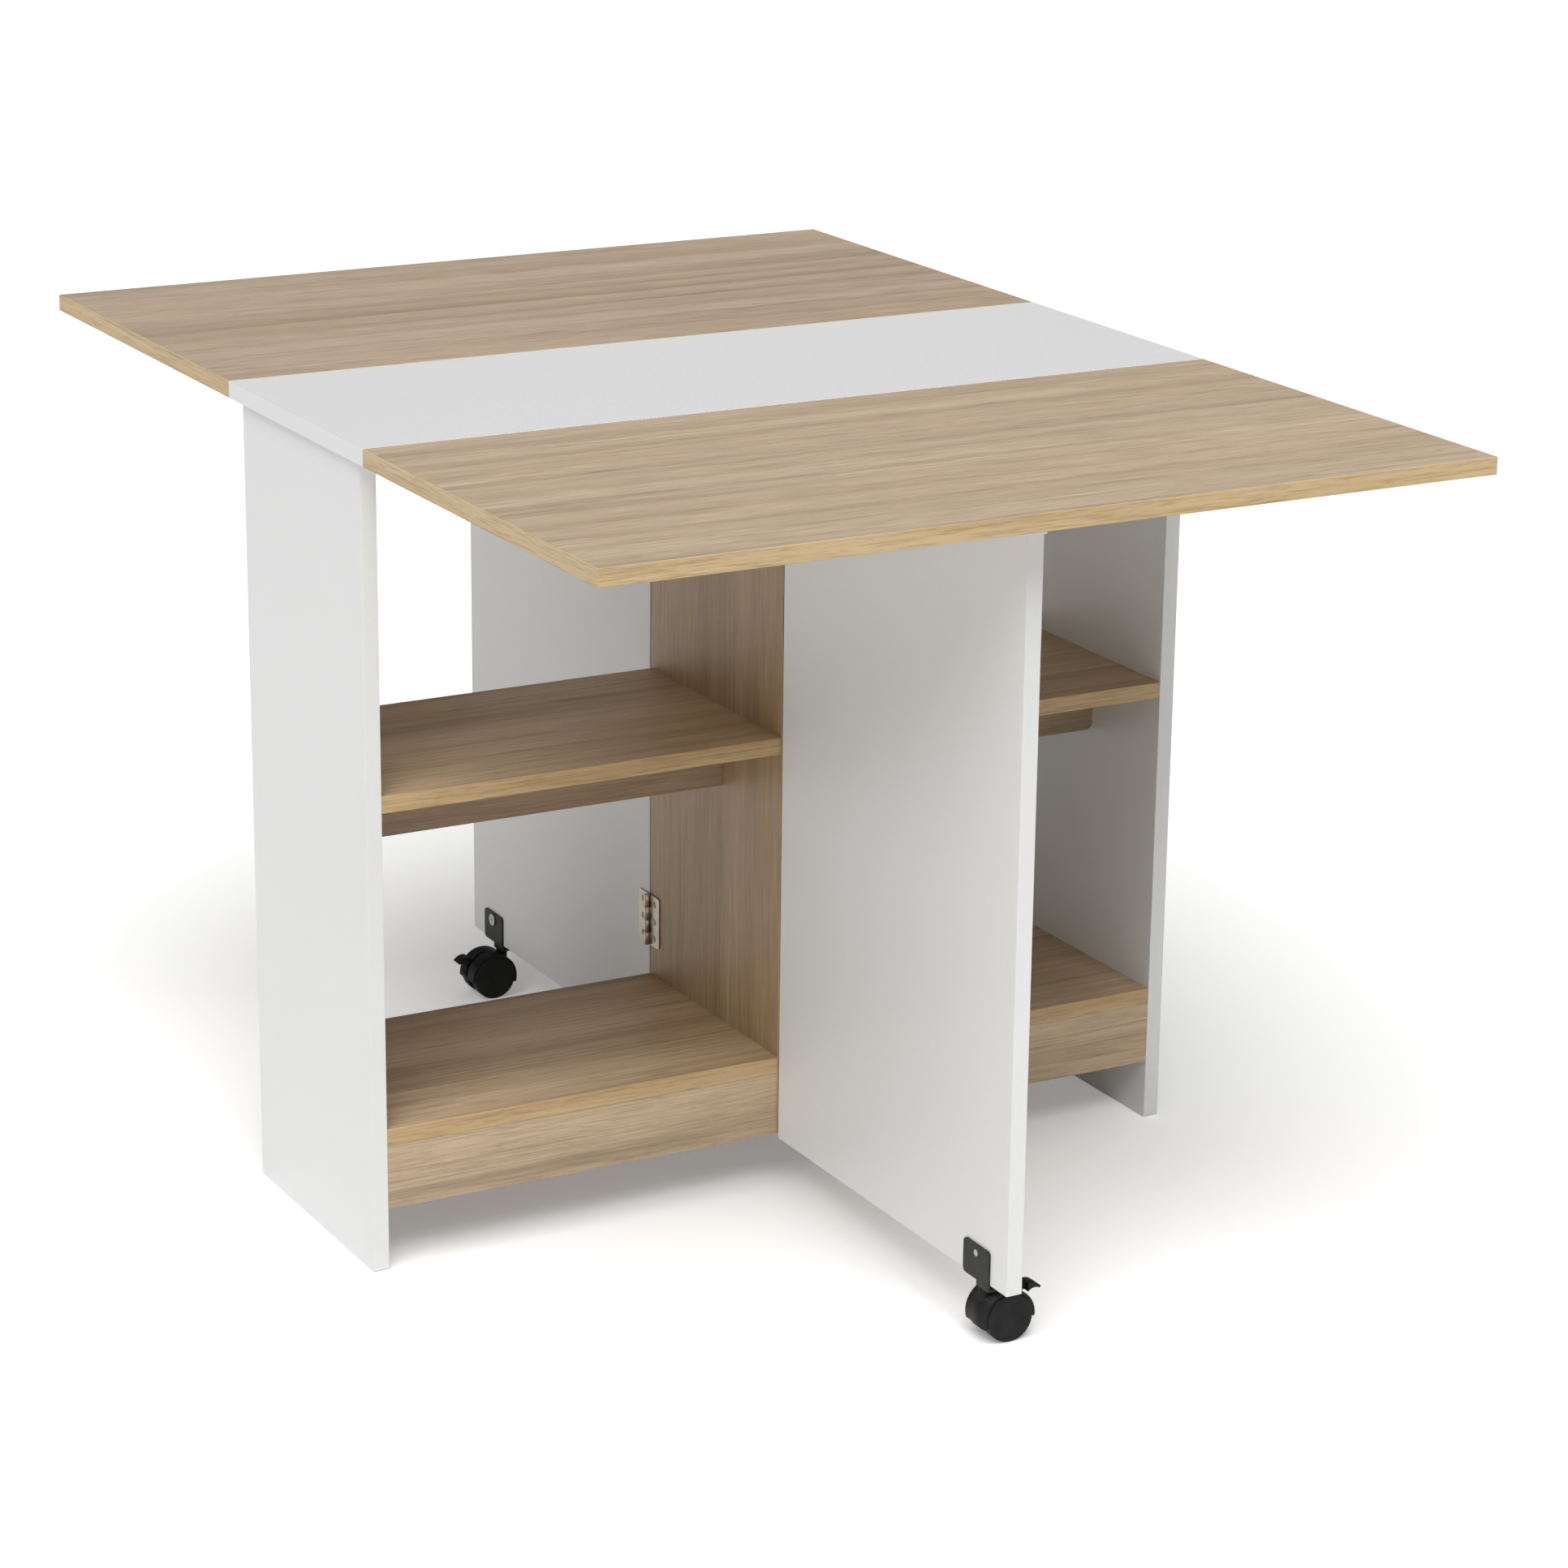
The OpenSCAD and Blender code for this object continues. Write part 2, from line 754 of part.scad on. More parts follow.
module shelf_edging() {
    color(oak_edge) for (z = shelf_levels, side = [-1, 1], face = [-1, 1])
        translate([side * (inner_x + half_t) / 2, face * (body_y - edge_t / 2), z + half_t])
            cube([bay_l, edge_t, board_t], center = true);
}

module front_left_plinth() {
    color(oak) plinth(-1, -body_y);
}

module front_right_plinth() {
    color(oak) plinth(1, -body_y);
}

module rear_left_plinth() {
    color(oak) plinth(-1, body_y - board_t);
}

module rear_right_plinth() {
    color(oak) plinth(1, body_y - board_t);
}

module left_rail() {
    color(oak) rail(-1);
}

module right_rail() {
    color(oak) rail(1);
}

module cam_locks() {
    color(zinc) {
        shelf_cams_at() cam_lock();
        top_cams_at() cam_lock();
    }
}

module cam_bolts() {
    color(steel) {
        shelf_bolts();
        top_bolts();
    }
}

module dowels() {
    color(beech) all_dowels();
}

module gate_hinge_fixed_plates() {
    color(nickel) for (rear = [false, true])
        turned(rear) gate_hinges_at() hinge_plate(true);
}

module leaf_hinge_fixed_plates() {
    color(nickel) for (rear = [false, true])
        turned(rear) leaf_hinges_at() hinge_plate(true);
}

module hinge_pins() {
    color(nickel) for (rear = [false, true])
        turned(rear) {
            gate_hinges_at() hinge_pin();
            leaf_hinges_at() hinge_pin();
        }
}

module base_hinge_screws() {
    color(nickel) for (rear = [false, true])
        turned(rear) {
            gate_hinges_at() plate_screws() screw();
            leaf_hinges_at() plate_screws() screw();
        }
}

module front_gate_panel() {
    color(white) difference() {
        gate_panel();
        bolt_hole(false);
    }
}

module rear_gate_panel() {
    color(white) difference() {
        turned(true) gate_panel();
        bolt_hole(true);
    }
}

module front_gate_edging() {
    color(white_edge) gate_edging();
}

module rear_gate_edging() {
    color(white_edge) turned(true) gate_edging();
}

module front_support_block() {
    color(cream) support_block();
}

module rear_support_block() {
    color(cream) turned(true) support_block();
}

module front_gate_hinge_plates() {
    color(nickel) gate_hinges_at() moving_side() hinge_plate(false);
}

module rear_gate_hinge_plates() {
    color(nickel) turned(true) gate_hinges_at() moving_side() hinge_plate(false);
}

module front_gate_screws() {
    color(nickel) gate_hinges_at() moving_side() plate_screws() screw();
}

module rear_gate_screws() {
    color(nickel) turned(true) gate_hinges_at() moving_side() plate_screws() screw();
}

module front_caster_bracket() {
    color(black_steel) at_bracket(false) caster_bracket();
}

module rear_caster_bracket() {
    color(black_steel) at_bracket(true) caster_bracket();
}

module front_bracket_bolt() {
    color(steel) at_bracket(false) through_bolt(false);
}

module rear_bracket_bolt() {
    color(steel) at_bracket(true) through_bolt(true);
}

module front_caster_stem() {
    color(black_steel) at_bracket(false) caster_stem();
}

module rear_caster_stem() {
    color(black_steel) at_bracket(true) caster_stem();
}

module front_leaf_panel() {
    color(oak) leaf_panel();
}

module rear_leaf_panel() {
    color(oak) turned(true) leaf_panel();
}

module front_leaf_edging() {
    color(oak_edge) leaf_edging();
}

module rear_leaf_edging() {
    color(oak_edge) turned(true) leaf_edging();
}

module front_leaf_hinge_plates() {
    color(nickel) leaf_hinges_at() moving_side() hinge_plate(false);
}

module rear_leaf_hinge_plates() {
    color(nickel) turned(true) leaf_hinges_at() moving_side() hinge_plate(false);
}

module front_leaf_screws() {
    color(nickel) leaf_hinges_at() moving_side() plate_screws() screw();
}

module rear_leaf_screws() {
    color(nickel) turned(true) leaf_hinges_at() moving_side() plate_screws() screw();
}

module front_caster_hood() {
    color(black_plastic) at_stem(false) caster_hood();
}

module rear_caster_hood() {
    color(black_plastic) at_stem(true) caster_hood();
}

module front_caster_pins() {
    color(steel) at_stem(false) caster_pins();
}

module rear_caster_pins() {
    color(steel) at_stem(true) caster_pins();
}

module front_brake_lever() {
    color(black_plastic) at_stem(false) brake_lever();
}

module rear_brake_lever() {
    color(black_plastic) at_stem(true) brake_lever();
}

module front_inner_wheel() {
    color(black_plastic) at_stem(false) wheel();
}

module rear_inner_wheel() {
    color(black_plastic) at_stem(true) wheel();
}

module front_outer_wheel() {
    color(black_plastic) at_stem(false) mirror([0, 1, 0]) wheel();
}

module rear_outer_wheel() {
    color(black_plastic) at_stem(true) mirror([0, 1, 0]) wheel();
}

top_strip();
top_strip_edging();
left_end_panel();
right_end_panel();
end_panel_edging();
divider();
divider_edging();
left_middle_shelf();
right_middle_shelf();
left_bottom_shelf();
right_bottom_shelf();
shelf_edging();
front_left_plinth();
front_right_plinth();
rear_left_plinth();
rear_right_plinth();
left_rail();
right_rail();
cam_locks();
cam_bolts();
dowels();
gate_hinge_fixed_plates();
leaf_hinge_fixed_plates();
hinge_pins();
base_hinge_screws();
front_gate_panel();
front_gate_edging();
front_support_block();
front_gate_hinge_plates();
front_gate_screws();
front_caster_bracket();
front_bracket_bolt();
front_caster_stem();
rear_gate_panel();
rear_gate_edging();
rear_support_block();
rear_gate_hinge_plates();
rear_gate_screws();
rear_caster_bracket();
rear_bracket_bolt();
rear_caster_stem();
front_leaf_panel();
front_leaf_edging();
front_leaf_hinge_plates();
front_leaf_screws();
rear_leaf_panel();
rear_leaf_edging();
rear_leaf_hinge_plates();
rear_leaf_screws();
front_caster_hood();
front_caster_pins();
front_brake_lever();
front_inner_wheel();
front_outer_wheel();
rear_caster_hood();
rear_caster_pins();
rear_brake_lever();
rear_inner_wheel();
rear_outer_wheel();
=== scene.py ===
"""Looks for the gateleg table: materials, softened edges, floor, light and camera."""
import json
import math

import bpy
from mathutils import Matrix, Vector

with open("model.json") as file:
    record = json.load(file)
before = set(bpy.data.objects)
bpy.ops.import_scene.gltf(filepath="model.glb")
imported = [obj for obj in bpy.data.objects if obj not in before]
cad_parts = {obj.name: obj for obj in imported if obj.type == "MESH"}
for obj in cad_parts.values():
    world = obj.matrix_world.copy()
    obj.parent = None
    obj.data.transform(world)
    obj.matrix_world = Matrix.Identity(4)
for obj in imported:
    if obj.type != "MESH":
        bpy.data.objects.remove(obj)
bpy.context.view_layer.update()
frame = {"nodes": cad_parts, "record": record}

# ---------- Camera ----------
# Measured from the middle of the table: degrees, metres, and millimetres for the lens and sensor
CAMERA_AZIMUTH = -28.91
CAMERA_ELEVATION = 17.4
CAMERA_ROLL = 0.67
CAMERA_DISTANCE = 3.8246
CAMERA_AIM = Vector((-0.02395, -0.16122, 0.400))
LENS = 100.63
SENSOR = 36.0
FARTHEST_SEEN = 100

# ---------- Colours (linear) ----------
WHITE = (0.793, 0.797, 0.790)
WHITE_EDGE = (0.775, 0.780, 0.774)
SPECK = (0.450, 0.450, 0.440)
OAK_PALE = (0.640, 0.512, 0.365)
OAK_WARM = (0.570, 0.435, 0.300)
OAK_PINK = (0.640, 0.455, 0.320)
OAK_GREY = (0.450, 0.352, 0.250)
OAK_DARK = (0.225, 0.165, 0.115)
# The rear leaf's oak is a darker copy of the front leaf's: painted shade for the light that falls off
# towards the back
REAR_LEAF_PAINTED_SHADE = (0.87, 0.88, 0.90)
# Darker, warmer copies of the oak for the shelves, divider, plinths and rails in the bays under the
# leaves: painted shade
SHELF_PAINTED_SHADE = (0.95, 0.89, 0.79)
UPRIGHT_PAINTED_SHADE = (0.71, 0.63, 0.50)
PLINTH_PAINTED_SHADE = (0.92, 0.88, 0.81)
RAIL_PAINTED_SHADE = (0.62, 0.57, 0.50)
EDGE_PALE = (0.600, 0.450, 0.250)
EDGE_WARM = (0.520, 0.365, 0.180)
EDGE_DARK = (0.260, 0.160, 0.070)
# Paler colour painted on the band's up-facing faces: a painted highlight
EDGE_TOP_HIGHLIGHT = (0.740, 0.595, 0.375)
# Darker copy of the edge band for the shelves and divider in the bays: painted shade
SHELF_BAND_PAINTED_SHADE = (0.92, 0.87, 0.82)
CREAM = (0.760, 0.745, 0.690)
BLACK = (0.009, 0.009, 0.009)
BLACK_PAINT = (0.014, 0.014, 0.014)
NICKEL = (0.520, 0.465, 0.390)
STEEL = (0.560, 0.565, 0.575)
ZINC = (0.480, 0.490, 0.510)
BEECH = (0.620, 0.450, 0.290)
FLOOR = (0.90, 0.90, 0.90)

# ---------- Oak print ----------
# Each layer's length along the grain and width across it in metres, its detail, roughness and warp,
# and the shift that keeps it from following the others
OAK_LAYERS = {
    "bands": (1.05, 0.027, 4.0, 0.55, 0.3, 0.0),
    "tint": (0.90, 0.060, 3.0, 0.55, 0.2, 7.0),
    "streaks": (0.280, 0.0042, 4.0, 0.60, 0.2, 3.0),
    "fibres": (0.060, 0.0014, 4.0, 0.65, 0.0, 5.0),
    "pores": (0.011, 0.0007, 2.0, 0.5, 0.0, 9.0),
    "growth": (0.50, 0.034, 3.0, 0.45, 0.6, 13.0),
    "clouds": (0.50, 0.080, 3.0, 0.5, 0.4, 17.0),
}
BAND_LAYERS = {
    "tone": (0.25, 0.008, 3.0, 0.5, 0.3, 0.0),
    "grain": (0.045, 0.0016, 5.0, 0.65, 0.3, 4.0),
    "ticks": (0.014, 0.0008, 2.0, 0.5, 0.0, 8.0),
}
RING_COUNT = 11.0
OAK_RELIEF = 0.00006
BAND_RELIEF = 0.00008

# ---------- Fine texture ----------
# How far apart the uneven spots of each plain finish are, in metres
FOIL_PEARL = 0.0016
BAND_PEARL = 0.0011
FOIL_CLOUD = 0.22
FOIL_SPECK = 0.0009
PLASTIC_WEAR_AND_SHEEN = 0.012
METAL_CLOUD = 0.006
BRUSHED = (0.02, 0.0004, 0.0004)
CAST = (0.001, 0.001, 0.001)
WOOD_FLECK = (0.004, 0.0006, 0.0006)
# How deep the relief of each is, in metres
FOIL_RELIEF = 0.00005
METAL_RELIEF = 0.00002
WOOD_RELIEF = 0.00005

# ---------- Light ----------
# Soft sources far away, each with the direction it comes from, its strength and its width in degrees
SUNS = {
    "overhead_softbox": ((-0.28, -0.42, 0.86), 3.35, 50),
    "side_softbox": ((-0.85, -0.48, 0.22), 0.28, 40),
}
# How much light the world and the floor's own glow give, and how bright they look to the camera
WORLD_STRENGTH = 0.12
BACKDROP = 1.0
FLOOR_GLOW = 0.05
FLOOR_LOOK = 0.25
FLOOR_HALF = 30.0
FLOOR_ROUGHNESS = 0.8


def along(axis, length, width):
    """The size of a feature that is length long along an axis, and width wide across it."""
    return [length if name == axis else width for name in "XYZ"]


class Graph:
    """A material's node graph, built one node at a time."""

    def __init__(self, name, **surface):
        self.material = bpy.data.materials.new(name)
        self.material.use_nodes = True
        self.tree = self.material.node_tree
        self.shader = self.tree.nodes["Principled BSDF"]
        self.point = self.add("ShaderNodeTexCoord").outputs["Object"]
        for socket, value in surface.items():
            self.put(self.shader.inputs[socket.replace("_", " ")], value)

    def add(self, kind, inputs=None, **settings):
        node = self.tree.nodes.new(kind)
        for key, value in settings.items():
            setattr(node, key, value)
        for key, value in (inputs or {}).items():
            self.put(node.inputs[key], value)
        return node

    def put(self, socket, value):
        if isinstance(value, bpy.types.NodeSocket):
            self.tree.links.new(value, socket)
        elif socket.type == "RGBA" and len(value) == 3:
            socket.default_value = (*value, 1.0)
        else:
            socket.default_value = value

    def noise(self, size, detail=3.0, rough=0.5, warp=0.0, shift=0.0):
        """Noise from 0 to 1 whose features are size metres long along X, Y and Z."""
        scale = [1.0 / s for s in size]
        where = {"Vector": self.point, "Scale": scale, "Location": [shift] * 3}
        place = self.add("ShaderNodeMapping", where).outputs[0]
        look = {"Scale": 1.0, "Detail": detail, "Roughness": rough, "Distortion": warp}
        return self.add("ShaderNodeTexNoise", {"Vector": place, **look}).outputs["Fac"]

    def layers(self, table, axis, shift=0.0):
        """The noises of a table such as OAK_LAYERS by name, with their length along an axis."""
        return {
            name: self.noise(along(axis, length, width), detail, rough, warp, shift + own)
            for name, (length, width, detail, rough, warp, own) in table.items()
        }

    def math(self, operation, a, b=0.0):
        return self.add("ShaderNodeMath", {0: a, 1: b}, operation=operation).outputs[0]

    def ramp(self, value, *stops):
        """A colour that goes through stops, each a place from 0 to 1 and a colour or a grey."""
        node = self.add("ShaderNodeValToRGB", {"Fac": value})
        points = node.color_ramp.elements
        while len(points) < len(stops):
            points.new(1.0)
        for point, (place, colour) in zip(points, stops):
            point.position = place
            point.color = (*(colour if hasattr(colour, "__len__") else [colour] * 3), 1.0)
        return node.outputs["Color"]

    def mix(self, share, a, b, blend="MIX"):
        """Colour a turned into b by a share. Colour sockets go by number, as their names repeat."""
        node = self.add("ShaderNodeMix", data_type="RGBA", blend_type=blend)
        self.put(node.inputs["Factor"], share)
        self.put(node.inputs[6], a)
        self.put(node.inputs[7], b)
        return node.outputs[2]

    def bump(self, height, depth, strength=1.0):
        """Relief of a depth in metres from a height of 0 to 1."""
        node = self.add("ShaderNodeBump", {"Height": height, "Distance": depth, "Strength": strength})
        self.put(self.shader.inputs["Normal"], node.outputs[0])


def shaded_tones(tones, tint):
    """Each of the colours, multiplied by a tint that darkens it as painted shade."""
    return [tuple(a * b for a, b in zip(tone, tint)) for tone in tones]


def faded(colour, share):
    """A colour with each channel cut to a share of itself."""
    return tuple(share * channel for channel in colour)


def oak_foil(name, axis, tones, contrast=1.0, shift=0.0):
    """Printed oak foil with its grain along an axis: bands, rings, streaks, fibres and pores."""
    pale, warm, grey, dark = tones
    g = Graph(name, Roughness=0.46, Specular_IOR_Level=0.42)
    layer = g.layers(OAK_LAYERS, axis, shift)
    bands, streaks, fibres = layer["bands"], layer["streaks"], layer["fibres"]

    base = g.mix(g.ramp(layer["tint"], (0.36, 0.0), (0.66, 1.0)), pale, warm)
    base = g.mix(g.ramp(bands, (0.44, 0.0), (0.62, 0.72 * contrast)), base, grey)
    base = g.mix(g.ramp(bands, (0.58, 0.0), (0.74, 0.30 * contrast)), base, dark)
    # Broad warm clouds, a little pink
    base = g.mix(g.ramp(layer["clouds"], (0.50, 0.0), (0.70, 0.26)), base, OAK_PINK)
    # Contours of a long smooth noise are the lines and slim arches of the growth rings
    rings = g.math("PINGPONG", g.math("MULTIPLY", layer["growth"], RING_COUNT), 0.5)
    lines = g.ramp(rings, (0.0, 1.0), (0.07, 0.45), (0.20, 0.0))
    patchy = g.mix(1.0, lines, g.ramp(streaks, (0.40, 0.10), (0.60, 1.0)), "MULTIPLY")
    base = g.mix(g.math("MULTIPLY", patchy, 0.30 * contrast), base, dark)
    base = g.mix(g.ramp(streaks, (0.54, 0.0), (0.72, 0.34 * contrast)), base, dark)
    base = g.mix(g.ramp(streaks, (0.28, 0.34 * contrast), (0.45, 0.0)), base, pale)
    base = g.mix(1.0, base, g.ramp(fibres, (0.34, 0.76), (0.62, 1.09)), "MULTIPLY")
    ticks = g.ramp(layer["pores"], (0.58, 0.0), (0.68, 1.0))
    base = g.mix(g.math("MULTIPLY", ticks, 0.26 * contrast), base, dark)
    g.put(g.shader.inputs["Base Color"], base)
    g.put(g.shader.inputs["Roughness"], g.ramp(fibres, (0.3, 0.38), (0.7, 0.50)))
    relief = g.math("SUBTRACT", g.math("MULTIPLY", fibres, 0.6), ticks)
    g.bump(relief, OAK_RELIEF, 0.7)
    return g.material


def oak_band(name, upright=False, tint=(1.0, 1.0, 1.0)):
    """Oak edge band: yellower than the foil, with short fine grain that runs the way the band does, a
    painted highlight on its up-facing faces, and a tint, which darkens the bands in the bays as painted
    shade.
    """
    g = Graph(name, Roughness=0.42, Specular_IOR_Level=0.45)
    normal = g.add("ShaderNodeTexCoord").outputs["Normal"]
    facing = g.add("ShaderNodeSeparateXYZ", {"Vector": normal})
    place = g.add("ShaderNodeSeparateXYZ", {"Vector": g.point})
    # Bands on the ends of a board run along Y, and the others along X
    ends = g.math("GREATER_THAN", g.math("ABSOLUTE", facing.outputs["X"]), 0.7)
    x, y, z = place.outputs
    turned = g.add("ShaderNodeCombineXYZ", {"X": y, "Y": x, "Z": z}).outputs[0]
    if upright:
        turned = g.add("ShaderNodeCombineXYZ", {"X": z, "Y": x, "Z": y}).outputs[0]
        ends = 1.0
    g.point = g.mix(ends, g.point, turned)
    pale, warm, dark, highlight = shaded_tones((EDGE_PALE, EDGE_WARM, EDGE_DARK, EDGE_TOP_HIGHLIGHT), tint)
    tone, grain, ticks = g.layers(BAND_LAYERS, "X").values()
    base = g.mix(g.ramp(tone, (0.35, 0.0), (0.65, 1.0)), pale, warm)
    base = g.mix(g.ramp(grain, (0.50, 0.0), (0.66, 0.55)), base, dark)
    base = g.mix(g.ramp(ticks, (0.58, 0.0), (0.70, 0.30)), base, dark)
    base = g.mix(g.ramp(grain, (0.30, 0.50), (0.44, 0.0)), base, pale)
    # Painted highlight: the band's faces that face up, its rounded top corner among them, are painted
    # paler, a pale line along the top of the board
    top = g.ramp(facing.outputs["Z"], (0.25, 0.0), (0.60, 0.75))
    base = g.mix(top, base, highlight)
    g.put(g.shader.inputs["Base Color"], base)
    g.bump(grain, BAND_RELIEF, 0.6)
    return g.material


def white_foil(name, colour, grain=FOIL_PEARL):
    """White melamine: a pearl texture a millimetre or two across, and a faint unevenness of gloss."""
    g = Graph(name, Roughness=0.40, Specular_IOR_Level=0.5)
    pearl = g.noise([grain] * 3, 3.0, 0.55)
    cloud = g.noise([FOIL_CLOUD] * 3, 3.0, 0.5)
    specks = g.noise([FOIL_SPECK] * 3, 1.0, 0.4, 0.0, 11.0)
    dimmer = faded(colour, 0.972)
    base = g.mix(g.ramp(pearl, (0.35, 0.0), (0.65, 1.0)), dimmer, colour)
    base = g.mix(g.ramp(cloud, (0.3, 0.06), (0.7, 0.0)), base, faded(colour, 0.8))
    base = g.mix(g.ramp(specks, (0.69, 0.0), (0.76, 0.10)), base, SPECK)
    g.put(g.shader.inputs["Base Color"], base)
    g.put(g.shader.inputs["Roughness"], g.ramp(pearl, (0.3, 0.34), (0.7, 0.46)))
    g.bump(pearl, FOIL_RELIEF, 0.8)
    return g.material


def plastic(name, colour, roughness, grain, depth, shine=0.45):
    """Moulded plastic with a spark-eroded texture, and lighter patches that are partly wear and partly a
    painted sheen.
    """
    g = Graph(name, Roughness=roughness, Specular_IOR_Level=shine)
    texture = g.noise([grain] * 3, 4.0, 0.6)
    # Lighter colour in random patches: partly wear, partly a painted sheen
    wear_and_sheen = g.noise([PLASTIC_WEAR_AND_SHEEN] * 3, 3.0, 0.55, 0.0, 5.0)
    worn_sheen_colour = tuple(min(1.0, channel * 1.35 + 0.004) for channel in colour)
    g.put(g.shader.inputs["Base Color"], g.mix(g.ramp(wear_and_sheen, (0.40, 0.0), (0.72, 1.0)), colour, worn_sheen_colour))
    g.put(g.shader.inputs["Roughness"], g.ramp(texture, (0.3, roughness - 0.07), (0.7, roughness + 0.07)))
    g.bump(texture, depth, 0.6)
    return g.material


def metal(name, colour, roughness, brush=BRUSHED):
    """Plated metal with fine drawing marks and cloudy gloss."""
    g = Graph(name, Metallic=1.0, Roughness=roughness)
    marks = g.noise(brush, 3.0, 0.6)
    cloud = g.noise([METAL_CLOUD] * 3, 3.0, 0.5, 0.0, 3.0)
    darker = faded(colour, 0.72)
    g.put(g.shader.inputs["Base Color"], g.mix(g.ramp(cloud, (0.35, 0.55), (0.65, 0.0)), colour, darker))
    g.put(g.shader.inputs["Roughness"], g.ramp(marks, (0.3, roughness - 0.06), (0.7, roughness + 0.10)))
    g.bump(marks, METAL_RELIEF, 0.5)
    return g.material


def turned_wood(name, colour):
    """Dowel beech with short flecks."""
    g = Graph(name, Roughness=0.6)
    fleck = g.noise(WOOD_FLECK, 3.0, 0.6)
    darker = faded(colour, 0.7)
    g.put(g.shader.inputs["Base Color"], g.mix(g.ramp(fleck, (0.45, 0.0), (0.65, 0.6)), colour, darker))
    g.bump(fleck, WOOD_RELIEF, 0.5)
    return g.material


# ---------- Materials on the CAD nodes ----------
OAK_TONES = (OAK_PALE, OAK_WARM, OAK_GREY, OAK_DARK)
MATERIALS = {
    "oak_leaf": oak_foil("oak_leaf", "X", OAK_TONES, 0.85),
    # The rear leaf's oak is the front leaf's made darker: painted shade
    "oak_rear_leaf_shaded": oak_foil("oak_rear_leaf_shaded", "X", shaded_tones(OAK_TONES, REAR_LEAF_PAINTED_SHADE), 0.85),
    # The shelves, plinths, rails and divider in the bays get darker copies of the oak: painted shade
    "oak_board": oak_foil("oak_board", "X", shaded_tones(OAK_TONES, SHELF_PAINTED_SHADE), 1.3, 21.0),
    "oak_front_shaded": oak_foil("oak_front_shaded", "X", shaded_tones(OAK_TONES, PLINTH_PAINTED_SHADE), 1.25, 29.0),
    "oak_rail_shaded": oak_foil("oak_rail_shaded", "X", shaded_tones(OAK_TONES, RAIL_PAINTED_SHADE), 0.95, 33.0),
    "oak_upright_shaded": oak_foil("oak_upright_shaded", "Z", shaded_tones(OAK_TONES, UPRIGHT_PAINTED_SHADE), 0.62, 37.0),
    "oak_band": oak_band("oak_band"),
    # The edge bands of the shelves and divider are darker copies: painted shade of the bays
    "oak_band_shelf_shaded": oak_band("oak_band_shelf_shaded", False, SHELF_BAND_PAINTED_SHADE),
    "oak_band_upright_shaded": oak_band("oak_band_upright_shaded", True, SHELF_BAND_PAINTED_SHADE),
    "white_foil": white_foil("white_foil", WHITE),
    "white_band": white_foil("white_band", WHITE_EDGE, BAND_PEARL),
    "cream_plastic": plastic("cream_plastic", CREAM, 0.38, 0.0008, 0.00003),
    "black_plastic": plastic("black_plastic", BLACK, 0.50, 0.0006, 0.00005, 0.22),
    "black_steel": plastic("black_steel", BLACK_PAINT, 0.45, 0.0005, 0.00004, 0.30),
    "nickel": metal("nickel", NICKEL, 0.26),
    "bright_steel": metal("bright_steel", STEEL, 0.30),
    "zinc": metal("zinc", ZINC, 0.38, CAST),
    "beech": turned_wood("beech", BEECH),
}
# The material of each of the record's slots, where the whole slot has one
SLOT_MATERIAL = {
    "white_board": "white_foil",
    "white_edge_band": "white_band",
    "oak_board": "oak_board",
    "oak_edge_band": "oak_band",
    "zinc": "zinc",
    "bright_steel": "bright_steel",
    "beech": "beech",
    "nickel": "nickel",
    "cream_plastic": "cream_plastic",
    "black_steel": "black_steel",
    "black_plastic": "black_plastic",
}
# The nodes whose finish is another cut of their slot's; all but the front leaf's are darker copies,
# painted shade for the rear leaf and for the boards in the bays
NODE_MATERIAL = {
    "front_leaf_panel": "oak_leaf",
    "rear_leaf_panel": "oak_rear_leaf_shaded",
    "divider": "oak_upright_shaded",
    "divider_edging": "oak_band_upright_shaded",
    "shelf_edging": "oak_band_shelf_shaded",
    "front_left_plinth": "oak_front_shaded",
    "front_right_plinth": "oak_front_shaded",
    "rear_left_plinth": "oak_front_shaded",
    "rear_right_plinth": "oak_front_shaded",
    "left_rail": "oak_rail_shaded",
    "right_rail": "oak_rail_shaded",
}
# Rounding of the edges in millimetres, by slot
EDGE_MM = {
    "white_board": 0.25,
    "white_edge_band": 0.35,
    "oak_board": 0.25,
    "oak_edge_band": 0.35,
    "nickel": 0.12,
    "cream_plastic": 0.8,
    "black_steel": 0.25,
    "black_plastic": 0.35,
    "bright_steel": 0.15,
}
BEVEL_ANGLE = math.radians(40)
WELD = 1e-6


def soften(piece, width):
    """Rounds a CAD node's sharp edges by modifiers, which leave its mesh as it is."""
    weld = piece.modifiers.new("join_corners", "WELD")
    weld.merge_threshold = WELD
    edge = piece.modifiers.new("round_edges", "BEVEL")
    edge.width = width
    edge.segments = 2
    edge.limit_method = "ANGLE"
    edge.angle_limit = BEVEL_ANGLE
    edge.use_clamp_overlap = True


def dress_nodes():
    for row in frame["record"]["subparts"]:
        name, slot = row["node"], row["material_slot"]
        piece = frame["nodes"][name]
        piece.data.materials.clear()
        piece.data.materials.append(MATERIALS[NODE_MATERIAL.get(name, SLOT_MATERIAL[slot])])
        if slot in EDGE_MM:
            soften(piece, EDGE_MM[slot] / 1000)


# ---------- Stage ----------
def light_and_look(tree, socket, light, look):
    """Gives a strength one value as a light on the table and another where the camera sees it."""
    ray = tree.nodes.new("ShaderNodeLightPath")
    strength = tree.nodes.new("ShaderNodeMapRange")
    strength.inputs["To Min"].default_value = light
    strength.inputs["To Max"].default_value = look
    tree.links.new(ray.outputs["Is Camera Ray"], strength.inputs["Value"])
    tree.links.new(strength.outputs["Result"], socket)


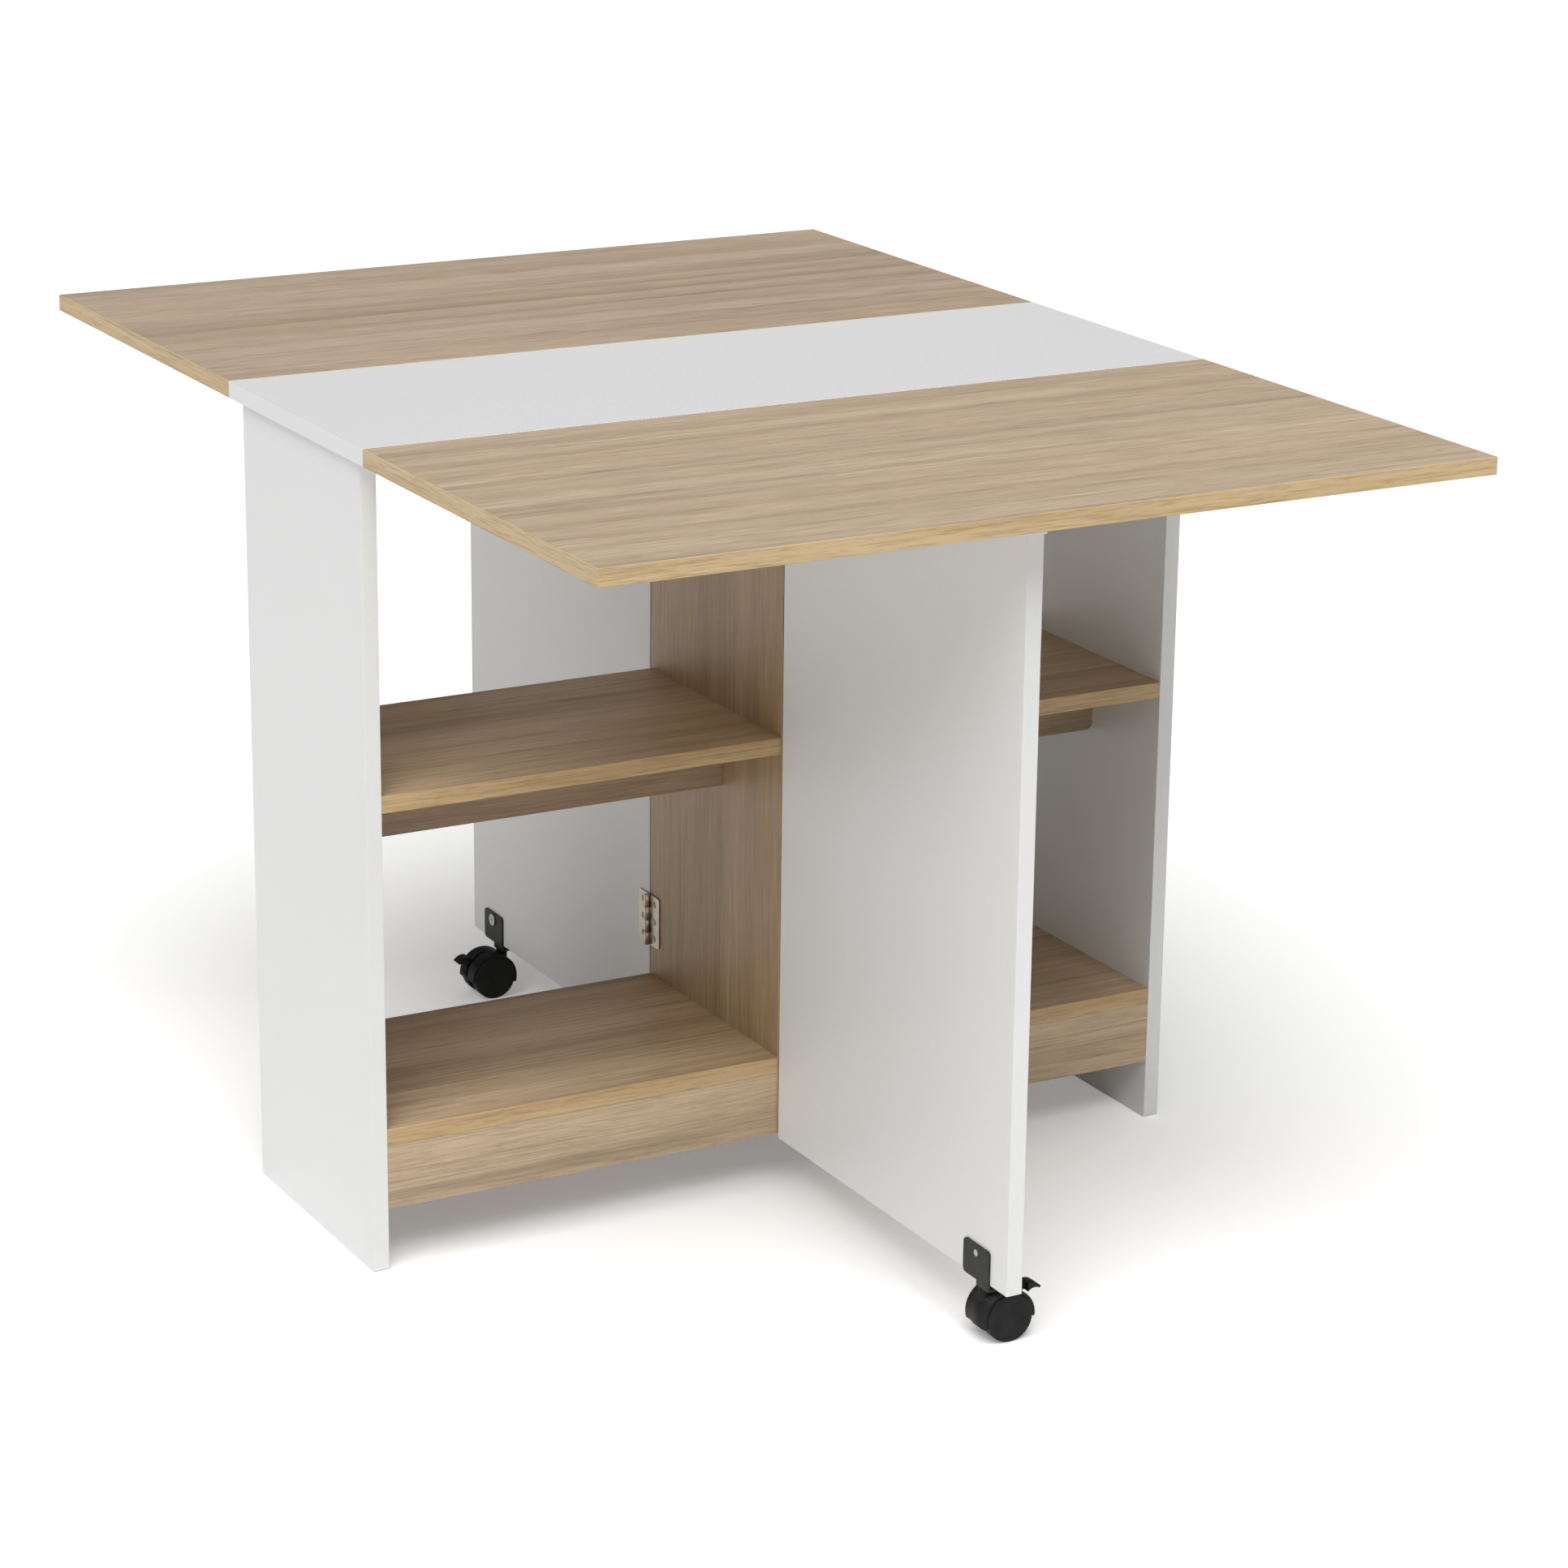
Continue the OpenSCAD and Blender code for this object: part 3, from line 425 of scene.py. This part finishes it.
def make_floor():
    mesh = bpy.data.meshes.new("floor")
    corners = [(FLOOR_HALF * x, FLOOR_HALF * y, 0) for x, y in ((-1, -1), (1, -1), (1, 1), (-1, 1))]
    mesh.from_pydata(corners, [], [(0, 1, 2, 3)])
    floor = bpy.data.objects.new("floor", mesh)
    bpy.context.scene.collection.objects.link(floor)
    g = Graph("floor", Base_Color=FLOOR, Roughness=FLOOR_ROUGHNESS, Emission_Color=FLOOR)
    light_and_look(g.tree, g.shader.inputs["Emission Strength"], FLOOR_GLOW, FLOOR_LOOK)
    mesh.materials.append(g.material)


def make_lights():
    for name, (source, strength, width) in SUNS.items():
        light = bpy.data.lights.new(name, "SUN")
        light.energy = strength
        light.angle = math.radians(width)
        lamp = bpy.data.objects.new(name, light)
        bpy.context.scene.collection.objects.link(lamp)
        lamp.rotation_euler = (-Vector(source)).to_track_quat("-Z", "Y").to_euler()


def make_world():
    world = bpy.data.worlds.new("studio")
    bpy.context.scene.world = world
    world.use_nodes = True
    background = world.node_tree.nodes["Background"]
    background.inputs["Color"].default_value = (1.0, 1.0, 1.0, 1.0)
    light_and_look(world.node_tree, background.inputs["Strength"], WORLD_STRENGTH, BACKDROP)


def make_camera():
    azimuth, elevation, roll = map(math.radians, (CAMERA_AZIMUTH, CAMERA_ELEVATION, CAMERA_ROLL))
    back = Vector((
        math.sin(azimuth) * math.cos(elevation),
        -math.cos(azimuth) * math.cos(elevation),
        math.sin(elevation),
    ))
    right = Vector((0, 0, 1)).cross(back).normalized()
    up = back.cross(right)
    right, up = (
        math.cos(roll) * right + math.sin(roll) * up,
        math.cos(roll) * up - math.sin(roll) * right,
    )
    data = bpy.data.cameras.new("camera")
    data.lens = LENS
    data.sensor_width = SENSOR
    data.clip_end = FARTHEST_SEEN
    camera = bpy.data.objects.new("camera", data)
    bpy.context.scene.collection.objects.link(camera)
    turn = Matrix((right, up, back)).transposed().to_4x4()
    camera.matrix_world = Matrix.Translation(CAMERA_AIM + back * CAMERA_DISTANCE) @ turn
    bpy.context.scene.camera = camera


dress_nodes()
make_floor()
make_lights()
make_world()
make_camera()
bpy.context.scene.view_settings.view_transform = "Standard"
